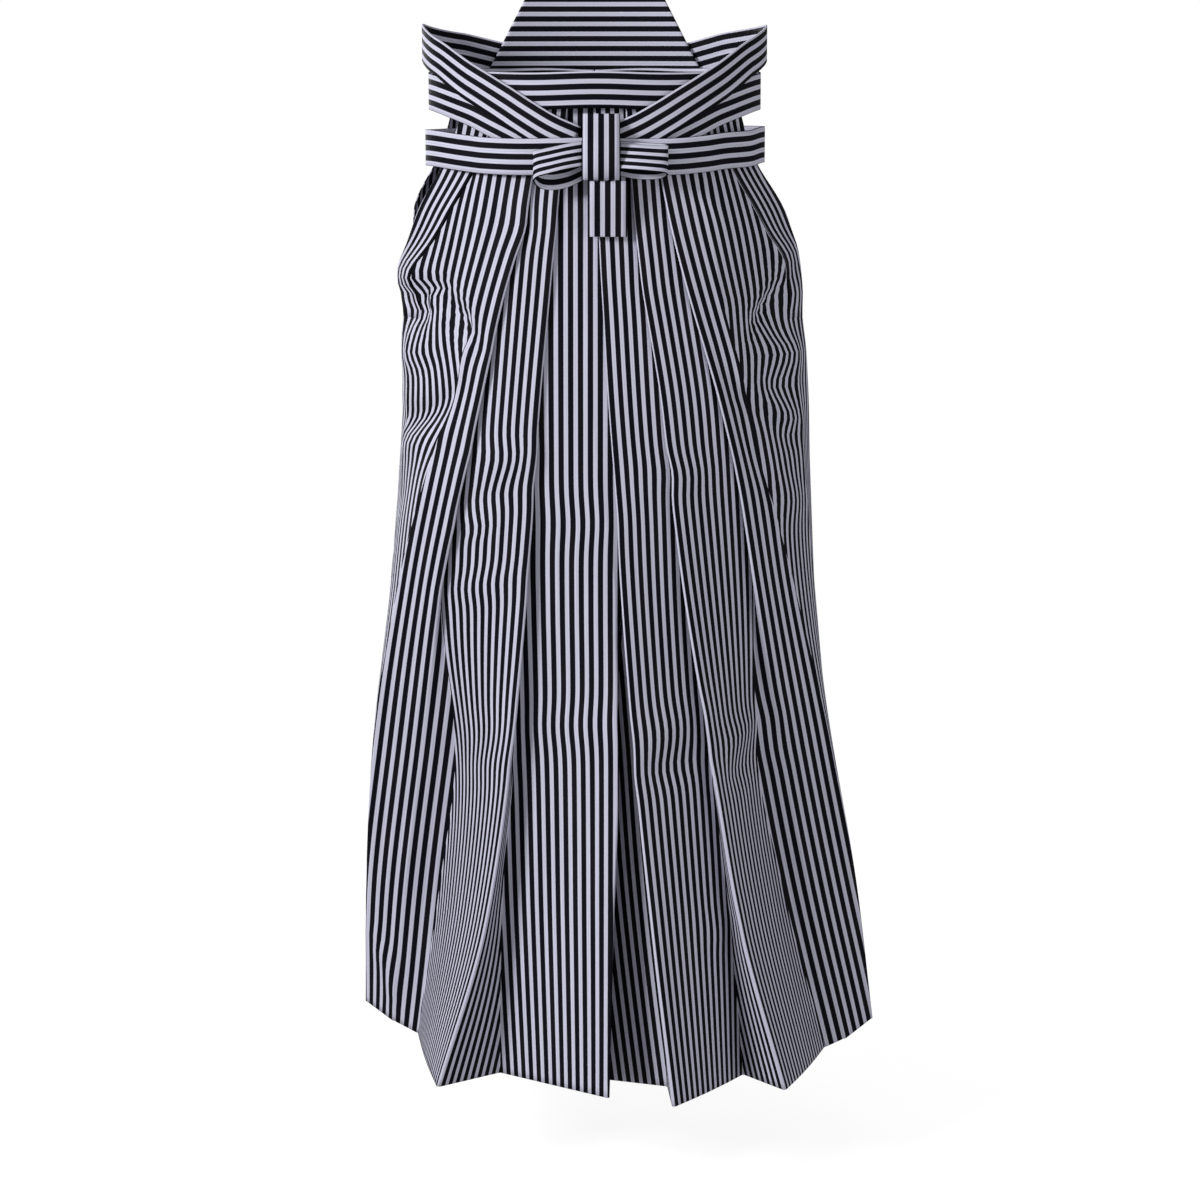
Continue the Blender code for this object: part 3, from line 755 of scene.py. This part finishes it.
# %% Paths of the bow, from the face of the belt. LOOP: distance to the side,
# forward, drop, share of the tie's width that stands up, lean of the lower edge
BELT_FACE = -(TIE_FRONT + BELT[6][2] + TIE_CLOTH / 2)
KNOT_MIDDLE = 6.0
KNOT_HALF = 17.0
LOOP_START = KNOT_HALF + 0.5
LOOP = ((LOOP_START, 1.2, -6, 0.95, 0), (30, 1.4, -11, 1.0, 0), (44, 2.4, -13.5, 1.0, 0),
        (55, 5.0, -12.5, 0.94, 3), (60.5, 9.5, -8.5, 0.80, 8), (57, 14.0, -5.5, 0.70, 12),
        (45, 16.5, -2.5, 0.67, 15), (32, 15.5, 0.5, 0.66, 14), (LOOP_START, 11.0, 3.0, 0.66, 9))
KNOT = ((38, -3.5), (30, 2.0), (22, 9.0), (13, 15.0), (0, 17.2), (-10, 16.2),
        (-17.5, 12.0), (-20, 6.5), (-18, 2.4), (-13, 1.2))
END = ((-21.6, 7.0), (-30, 7.6), (-44, 5.5), (-58, 2.0), (-72, -0.6))
END_MIDDLE = 12.0
END_HALF = 17.5
BOW_BETWEEN = 10


def strip_of_tie(name, lines, half, hemmed=False):
    """A stretch of tie from lines of points, one line for each place along it.
    V runs from its start, or up to 0 at its end when that end is hemmed."""
    reaches = steps(half, -half, len(lines[0]))
    along_tie = [0.0]
    for a, b in zip(lines, lines[1:]):
        along_tie.append(along_tie[-1] + math.dist(a[len(a) // 2], b[len(b) // 2]))
    if hemmed:
        along_tie = [place - along_tie[-1] for place in along_tie]
    across = [list(zip(reaches, reaches[1:]))] * len(lines)
    return bend_sheet(name, lines, across, along_tie, TIE_CLOTH)


def bow_loop(name, side, length, sag):
    """The front of a loop leans out at its lower edge and rises to the knot."""
    lines = [[(KNOT_MIDDLE + side * (LOOP_START + (out - LOOP_START) * length),
               BELT_FACE - forward + lean * up, up * TIE_WIDTH * upright + drop * sag)
              for up in steps(0.5, -0.5, TIE_ACROSS)]
             for out, forward, drop, upright, lean in smooth_path(LOOP, BOW_BETWEEN)]
    return strip_of_tie(name, lines, TIE_WIDTH / 2)


def hanging(name, path, middle, half, crown, hemmed=False):
    """A stretch of tie that runs up or down, with its middle bulging out."""
    lines = [[(middle + x, BELT_FACE - forward - crown * (1 - (x / half) ** 2), height)
              for x in steps(half, -half, TIE_ACROSS)]
             for height, forward in smooth_path(path, BOW_BETWEEN)]
    return strip_of_tie(name, lines, half, hemmed)


cloth["bow_loop_left"] = bow_loop("bow_ear_left", -1, 1.0, 1.0)
cloth["bow_loop_right"] = bow_loop("bow_ear_right", 1, 0.98, 0.3)
cloth["bow_knot"] = hanging("bow_wrap", KNOT, KNOT_MIDDLE, KNOT_HALF, 3.0)
cloth["bow_end"] = hanging("bow_tail", END, END_MIDDLE, END_HALF, 1.0, hemmed=True)

# %% [markdown]
# ## The back board
#
# The board is a stiff core in the same cloth. Its sides lean in, and it curves
# a little round the back. A grid bent into shape and thickened keeps the face
# smooth, and a Bevel modifier rounds the covered edges.

# %% The board
BOARD = 5.0
BOARD_HEIGHT = 86.0
BOARD_HALF_BOTTOM = 108.0
BOARD_HALF_TOP = 64.0
BOARD_DEPTH = 103.0
BOARD_CURVE = 0.0018
BOARD_LEAN = 3.0
BOARD_ROWS = 25
BOARD_POINTS = 49


def back_board(name):
    """U is the height here, which turns the stripes level."""
    rows, across, down = [], [], []
    for up in steps(0.0, 1.0, BOARD_ROWS):
        half = BOARD_HALF_BOTTOM + up * (BOARD_HALF_TOP - BOARD_HALF_BOTTOM)
        height = PANEL_TOP + SEAM_GAP + up * BOARD_HEIGHT
        rows.append([(x, BOARD_DEPTH - BOARD_CURVE * x * x + BOARD_LEAN * up * up, height)
                     for x in steps(-half, half, BOARD_POINTS)])
        across.append([(height, height)] * (BOARD_POINTS - 1))
        down.append(0.0)
    return bend_sheet(name, rows, across, down, BOARD)


board = back_board("covered_board")
edge = board.modifiers.new("Rounded edge", "BEVEL")
edge.width = 1.6 * MM
edge.segments = 3
edge.limit_method = "ANGLE"
print("ties, bow and board made")


# %% [markdown]
# ## Writing materials as sums
#
# A material is a small calculation at every point. The class below wraps a
# socket, so that `1 - mask` or `height * 0.2` adds the Math node for us.

# %% Shader arithmetic
class Wire:
    """A node's output in a sum; numbers and wires can be mixed."""

    def __init__(self, shop, socket):
        self.shop, self.socket = shop, socket

    def sum(self, operation, *others):
        return self.shop.node("ShaderNodeMath", {"operation": operation},
                              dict(enumerate((self,) + others)))

    def __add__(self, other):
        return self.sum("ADD", other)

    def __mul__(self, other):
        return self.sum("MULTIPLY", other)

    def __sub__(self, other):
        return self.sum("SUBTRACT", other)

    def __rsub__(self, other):
        return self.shop.node("ShaderNodeMath", {"operation": "SUBTRACT"}, {0: other, 1: self})

    def __truediv__(self, other):
        return self.sum("DIVIDE", other)

    __radd__ = __add__
    __rmul__ = __mul__

    def fraction(self):
        return self.sum("FRACT")

    def whole(self):
        return self.sum("FLOOR")

    def size(self):
        return self.sum("ABSOLUTE")

    def sine(self):
        return self.sum("SINE")

    def between(self, low, high):
        """0 below low, 1 above high, and smooth from one to the other."""
        return self.shop.node("ShaderNodeMapRange", {"interpolation_type": "SMOOTHSTEP"},
                              {"Value": self, "From Min": low, "From Max": high})


class Workshop:
    """Builds the nodes of one material."""

    def __init__(self, name):
        self.material = bpy.data.materials.new(name)
        self.material.use_nodes = True
        self.tree = self.material.node_tree
        self.shader = self.tree.nodes["Principled BSDF"]

    def node(self, kind, settings, inputs, output=0):
        made = self.tree.nodes.new(kind)
        for key, value in settings.items():
            setattr(made, key, value)
        for key, value in inputs.items():
            if isinstance(value, Wire):
                self.tree.links.new(value.socket, made.inputs[key])
            else:
                made.inputs[key].default_value = value
        return Wire(self, made.outputs[output])

    def mix(self, share, first, second):
        """Two colours mixed by a share; in a Mix node they are inputs 6 and 7."""
        return self.node("ShaderNodeMix", {"data_type": "RGBA"},
                         {0: share, 6: first, 7: second}, output=2)

    def set(self, **values):
        for key, value in values.items():
            socket = self.shader.inputs[key.replace("_", " ")]
            if isinstance(value, Wire):
                self.tree.links.new(value.socket, socket)
            else:
                socket.default_value = value


# %% [markdown]
# ## The striped cloth
#
# The stripes are about 5 mm each, black against a pale lilac grey. Up close
# the pale ones have a finer line down the middle, and both are a little uneven
# along the yarn, as silk is. The weave is far finer than a stripe, so it only
# shows as a faint grain in the bump. A painted picture of the cloth would blur
# up close and repeat from afar; a calculation does neither.

# %% Colours and sizes of the stripes, in metres
PITCH = 0.0094
DARK_SHARE = 0.565
BLACK = (0.0040, 0.0038, 0.0078, 1)
WORN_BLACK = (0.0080, 0.0070, 0.0100, 1)
PALE = (0.630, 0.620, 0.765, 1)
PALE_GREY = (0.530, 0.528, 0.640, 1)
CORE_LINE = (0.430, 0.435, 0.540, 1)
EDGE_BLUR = 0.03
LEG_HEM = (HEM + 22) * MM
TIE_HEM = -0.008
YARN_WIDTH = 1 / 900
YARN_LENGTH = 1 / 9
GRAIN = (0.0006, 0.0007)
STITCH = 0.0045


def striped(name, start, hem):
    """A stripe pair runs from the middle of one pale stripe to the next, with the
    dark one between. start: how far into a pair the panel's own edge lies;
    hem: V of the row of small stitches that holds the hem."""
    shop = Workshop(name)
    place = shop.node("ShaderNodeUVMap", {"uv_map": "Yarns"}, {})
    u = shop.node("ShaderNodeSeparateXYZ", {}, {0: place}, output=0)
    v = shop.node("ShaderNodeSeparateXYZ", {}, {0: place}, output=1)
    count = u / PITCH + start
    stripe, part = count.whole(), count.fraction()
    off_middle = (part - 0.5).size()
    dark = 1 - off_middle.between(DARK_SHARE / 2 - EDGE_BLUR, DARK_SHARE / 2 + EDGE_BLUR)
    core = off_middle.between(0.44, 0.48)
    yarn = shop.node("ShaderNodeCombineXYZ", {}, {0: u / YARN_WIDTH, 1: v / YARN_LENGTH, 2: 0.0})
    slub = shop.node("ShaderNodeTexNoise", {}, {"Vector": yarn, "Scale": 1.0, "Detail": 3.0})
    band = shop.node("ShaderNodeCombineXYZ", {}, {0: stripe * 1.7, 1: v * 5, 2: 0.0})
    shade = shop.node("ShaderNodeTexNoise", {}, {"Vector": band, "Scale": 1.0, "Detail": 2.0})
    black = shop.mix(shade.between(0.45, 0.65), BLACK, WORN_BLACK)
    pale = shop.mix((slub * 0.6 + shade * 0.4).between(0.35, 0.65), PALE_GREY, PALE)
    pale = shop.mix(core * 0.55, pale, CORE_LINE)
    grain = (u * (math.tau / GRAIN[0])).sine() * (v * (math.tau / GRAIN[1])).sine()
    on_hem = 1 - (v - hem).size().between(0.0003, 0.0008)
    stitch = on_hem * (u / STITCH).fraction().between(0.35, 0.45)
    bump = shop.node("ShaderNodeBump", {}, {
        "Strength": 0.2, "Distance": 0.0002,
        "Height": grain * (1 - dark) * 0.12 + slub * 0.5 + dark * -0.2 + stitch * -3})
    shop.set(Base_Color=shop.mix(dark, pale, black), Roughness=dark * -0.05 + 0.72,
             Normal=bump, Specular_IOR_Level=0.05)
    return shop.material


leg_cloth = striped("striped silk", 0.0875, LEG_HEM)
tie_cloth = striped("striped silk, tie", 0.5, TIE_HEM)

# %% Give each piece its cloth
LEG_NODES = ("front_left", "front_right", "back_left", "back_right", "gusset_left",
             "gusset_right", "side_strip_left", "side_strip_right")
for node, piece in cloth.items():
    leg = node in LEG_NODES
    piece.data.materials.append(leg_cloth if leg else tie_cloth)
    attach(piece, "root")
    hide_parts(node)
board.data.materials.append(tie_cloth)
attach(board, "root")
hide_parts("back_board")


# %% [markdown]
# ## What each piece is cut from
#
# The size of each leg piece, tie and bow stretch when it lies flat is printed
# below. The pleated pieces are wider than they show, because the pleats take up
# cloth. The size could be typed in from a pattern book. It is measured instead,
# from the sheet's own area, so it stays true when a fold in the tables is changed.

# %% Flat sizes
def one_side_area(obj):
    """The mesh is one layer; its thickness is still only a modifier."""
    return sum(face.area for face in obj.data.polygons)


for node, piece in cloth.items():
    area = one_side_area(piece)
    corners = [piece.matrix_world @ v.co for v in piece.data.vertices]
    tall = max(c.z for c in corners) - min(c.z for c in corners)
    leg = node in LEG_NODES
    length = tall if leg else area / (TIE_WIDTH * MM)
    width = area / length
    print(f"{node}: {width:.3f} x {length:.3f} m")

# %% [markdown]
# ## Light, floor and camera
#
# The photograph was taken in a bright studio: the left hip is the lightest
# place, the right one is in soft shade. One large lamp stands at the left, a
# little above the waist, and gives the folds their shade. A wide one at the
# right and a weak pale world keep the shade open, and a third lamp lights the
# back for whoever turns the part. The floor glows to its pale tone by itself and
# fades out with distance, so no edge of it shows. The camera stands three metres
# away, a little above the waist, and looks down ten degrees.

# %% Floor
FLOOR = -0.955
FLOOR_HALF = 4.0
FLOOR_GREY = (0.22, 0.22, 0.22, 1)
FLOOR_GLOW = 0.89
FLOOR_FADE = (0.5, 1.8)
floor_mesh = bpy.data.meshes.new("studio_floor")
bm = bmesh.new()
bmesh.ops.create_grid(bm, x_segments=1, y_segments=1, size=FLOOR_HALF)
bmesh.ops.translate(bm, verts=bm.verts, vec=(0, 0, FLOOR))
bm.to_mesh(floor_mesh)
bm.free()
studio_floor = bpy.data.objects.new("studio_floor", floor_mesh)
bpy.context.scene.collection.objects.link(studio_floor)
floor_paint = Workshop("pale floor")
place = floor_paint.node("ShaderNodeTexCoord", {}, {}, output=3)
level = floor_paint.node("ShaderNodeVectorMath", {"operation": "MULTIPLY"},
                         {0: place, 1: (1, 1, 0)})
away = floor_paint.node("ShaderNodeVectorMath", {"operation": "LENGTH"}, {0: level}, output=1)
floor_paint.set(Base_Color=FLOOR_GREY, Roughness=1.0, Specular_IOR_Level=0.0,
                Emission_Color=(1, 1, 1, 1), Emission_Strength=FLOOR_GLOW,
                Alpha=1 - away.between(*FLOOR_FADE))
floor_mesh.materials.append(floor_paint.material)
studio_floor.visible_diffuse = False
studio_floor.visible_glossy = False
print("floor at", FLOOR)

# %% World: plain white to the camera, weaker as a light
AMBIENT = 0.33
world = bpy.data.worlds.new("studio")
bpy.context.scene.world = world
world.use_nodes = True
sky = world.node_tree
rays = sky.nodes.new("ShaderNodeLightPath")
strength = sky.nodes.new("ShaderNodeMath")
strength.operation = "MULTIPLY_ADD"
strength.inputs[1].default_value = 1 - AMBIENT
strength.inputs[2].default_value = AMBIENT
sky.links.new(rays.outputs["Is Camera Ray"], strength.inputs[0])
sky.links.new(strength.outputs[0], sky.nodes["Background"].inputs["Strength"])
sky.nodes["Background"].inputs["Color"].default_value = (1.0, 1.0, 1.0, 1)
bpy.context.scene.view_settings.view_transform = "Standard"


# %% Lamps
def lamp(name, place, target, size, power):
    light = bpy.data.lights.new(name, "AREA")
    light.size = size
    light.energy = power
    obj = bpy.data.objects.new(name, light)
    obj.location = place
    obj.rotation_euler = (Vector(target) - Vector(place)).to_track_quat("-Z", "Y").to_euler()
    bpy.context.scene.collection.objects.link(obj)


lamp("key", (-2.7, -2.1, 1.1), (0, 0, -0.4), 0.9, 112)
lamp("fill", (2.8, -2.3, -0.2), (0.1, 0, -0.5), 2.0, 28)
lamp("back", (-1.6, 2.9, 0.3), (0, 0, -0.4), 1.6, 55)
print("lamps:", ", ".join(light.name for light in bpy.data.lights))

# %% Camera
CAMERA_PITCH = 10.136
CAMERA_PLACE = (0.005, -3.10, 0.123)
camera = bpy.data.objects.new("camera", bpy.data.cameras.new("camera"))
camera.data.lens = 97.62
camera.data.sensor_width = 36.0
camera.location = CAMERA_PLACE
camera.rotation_euler = (math.radians(90 - CAMERA_PITCH), 0, 0)
bpy.context.scene.collection.objects.link(camera)
bpy.context.scene.camera = camera
